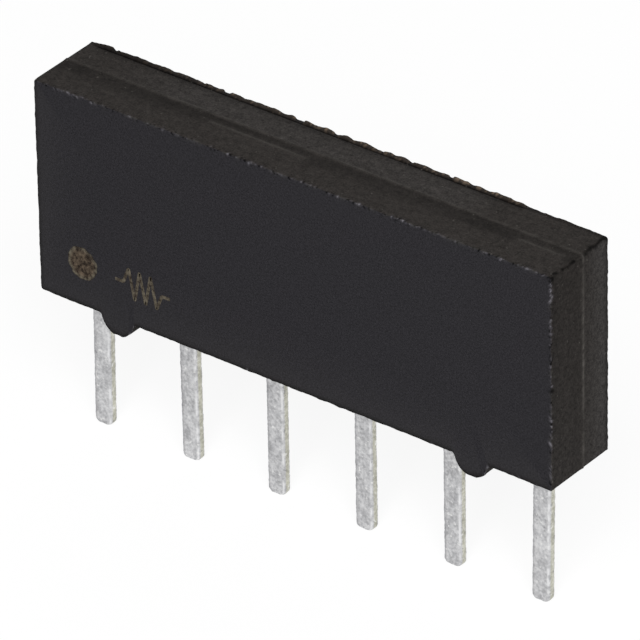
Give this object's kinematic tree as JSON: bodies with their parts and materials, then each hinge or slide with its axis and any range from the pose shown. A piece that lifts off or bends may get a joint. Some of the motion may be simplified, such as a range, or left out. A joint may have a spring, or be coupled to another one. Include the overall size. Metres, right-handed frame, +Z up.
{
  "type": "resistor network",
  "caption": "Moulded single-in-line resistor network: a flat black epoxy body on half-round standoffs, with a row of straight tinned leads that solder into a board.",
  "frame": {"origin": "on the board's surface, where the feet of the standoffs rest, under the middle of the lead row", "axes": "+X along the lead row from lead 1 to lead 6, +Y from the marked front face to the rear face, +Z up from the board"},
  "size_m": [0.0146, 0.0022, 0.0095],
  "materials": {
    "moulding_compound": "matte black moulded epoxy with a fine grain",
    "alumina": "fired, unglazed",
    "conductor_film": "printed and fired silver alloy, matte",
    "resistor_film": "printed and fired metal oxide in glass, matte black",
    "overglaze": "printed glass, glossy",
    "tinned_lead": "matte tin plate on a copper alloy strip, speckled",
    "solder": "reflowed, satin"
  },
  "bodies": {
    "root": {"moulded_body": "moulding_compound", "ceramic_substrate": "alumina", "common_conductor": "conductor_film", "pad_2": "conductor_film", "pad_3": "conductor_film", "pad_4": "conductor_film", "pad_5": "conductor_film", "pad_6": "conductor_film", "resistor_1": "resistor_film", "resistor_2": "resistor_film", "resistor_3": "resistor_film", "resistor_4": "resistor_film", "resistor_5": "resistor_film", "overglaze": "overglaze", "lead_1": "tinned_lead", "lead_2": "tinned_lead", "lead_3": "tinned_lead", "lead_4": "tinned_lead", "lead_5": "tinned_lead", "lead_6": "tinned_lead", "solder_1": "solder", "solder_2": "solder", "solder_3": "solder", "solder_4": "solder", "solder_5": "solder", "solder_6": "solder"}
  },
  "joints": []
}
